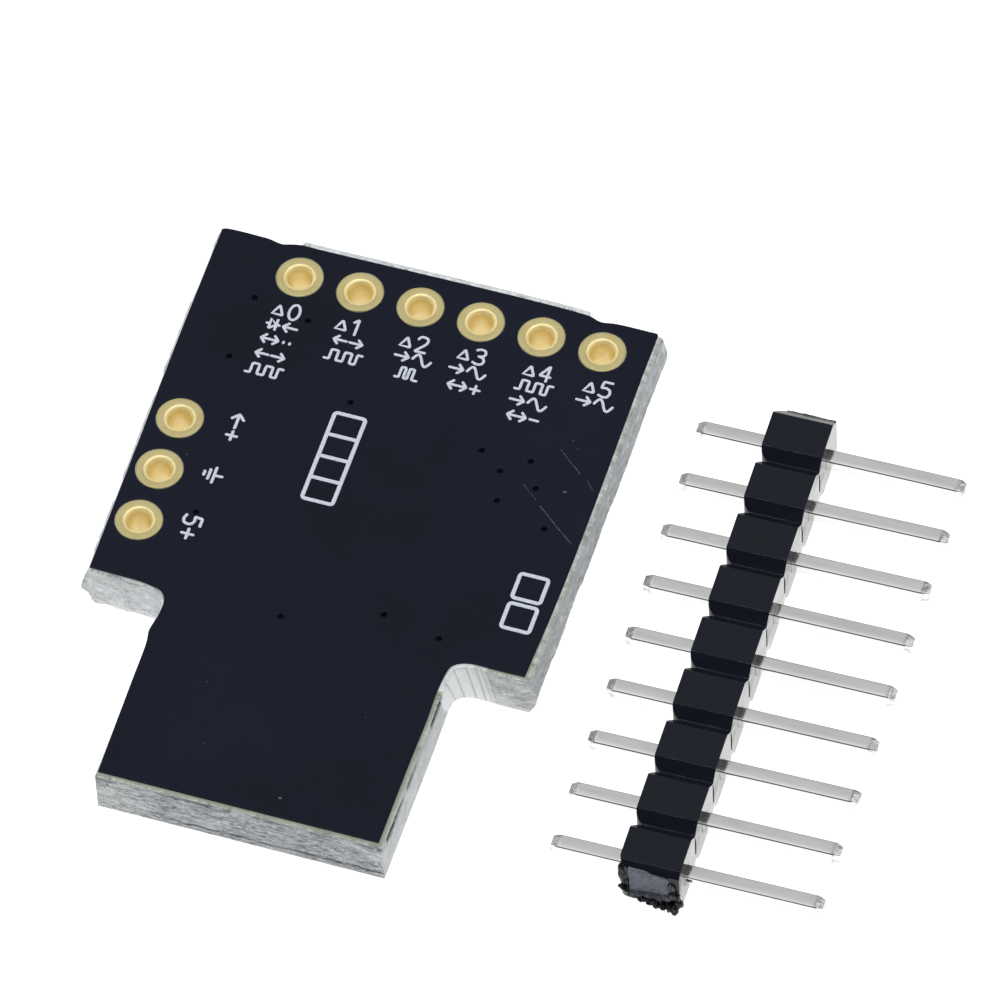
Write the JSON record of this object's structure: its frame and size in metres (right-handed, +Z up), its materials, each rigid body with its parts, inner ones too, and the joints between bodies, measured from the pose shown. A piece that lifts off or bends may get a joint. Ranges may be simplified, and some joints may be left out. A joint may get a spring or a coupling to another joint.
{
  "type": "microcontroller board with loose pin header",
  "caption": "Bare microcontroller board whose end is a USB plug tongue, lying label side up on its components, with an unsoldered snapped pin header strip beside it.",
  "frame": {"origin": "middle of the lowest level of the whole kit, board and header strip together, on the surface that they lie on", "axes": "+Z up out of the label side, +X along the row of signal holes towards the header strip, the plug tongue points to -Y"},
  "size_m": [0.0324, 0.0266, 0.0044],
  "materials": {
    "laminate": "matte",
    "solder_mask": "satin",
    "gold_plating": "satin",
    "tinned_leads": "satin",
    "package_epoxy": "matte",
    "diode_glass": "gloss",
    "resistor_body": "satin",
    "capacitor_body": "satin",
    "led_base": "matte",
    "led_lens_red": "gloss",
    "led_lens_green": "gloss",
    "header_plastic": "satin",
    "header_pins": "satin",
    "silkscreen": "matte",
    "solder": "satin"
  },
  "bodies": {
    "board": {"pcb_laminate": "laminate", "plated_hole_p0": "gold_plating", "plated_hole_p1": "gold_plating", "plated_hole_p2": "gold_plating", "plated_hole_p3": "gold_plating", "plated_hole_p4": "gold_plating", "plated_hole_p5": "gold_plating", "plated_hole_supply_in": "gold_plating", "plated_hole_ground": "gold_plating", "plated_hole_5v": "gold_plating", "usb_contact_supply": "gold_plating", "usb_contact_data_minus": "gold_plating", "usb_contact_data_plus": "gold_plating", "usb_contact_ground": "gold_plating", "solder_mask_label_side": "solder_mask", "solder_mask_component_side": "solder_mask", "microcontroller_body": "package_epoxy", "microcontroller_lead_1": "tinned_leads", "microcontroller_lead_2": "tinned_leads", "microcontroller_lead_3": "tinned_leads", "microcontroller_lead_4": "tinned_leads", "microcontroller_lead_5": "tinned_leads", "microcontroller_lead_6": "tinned_leads", "microcontroller_lead_7": "tinned_leads", "microcontroller_lead_8": "tinned_leads", "regulator_body": "package_epoxy", "regulator_tab": "tinned_leads", "regulator_lead_in": "tinned_leads", "regulator_lead_out": "tinned_leads", "regulator_centre_stub": "tinned_leads", "schottky_diode_body": "package_epoxy", "schottky_diode_cathode": "tinned_leads", "schottky_diode_anode": "tinned_leads", "zener_diode_data_minus": "diode_glass", "zener_diode_data_plus": "diode_glass", "resistor_status_led": "resistor_body", "resistor_pull_up": "resistor_body", "resistor_power_led": "resistor_body", "resistor_data_minus": "resistor_body", "resistor_data_plus": "resistor_body", "capacitor_input": "capacitor_body", "capacitor_output": "capacitor_body", "capacitor_controller": "capacitor_body", "status_led_base": "led_base", "status_led_lens": "led_lens_red", "power_led_base": "led_base", "power_led_lens": "led_lens_green"},
    "pin_header": {"header_pin_1": "header_pins", "header_pin_2": "header_pins", "header_pin_3": "header_pins", "header_pin_4": "header_pins", "header_pin_5": "header_pins", "header_pin_6": "header_pins", "header_pin_7": "header_pins", "header_pin_8": "header_pins", "header_pin_9": "header_pins", "header_insulator": "header_plastic"}
  },
  "joints": [
    {"name": "header_lift", "type": "slide", "parent": "board", "child": "pin_header", "axis": [0, 0, 1], "range_m": [0, 0.01]}
  ]
}
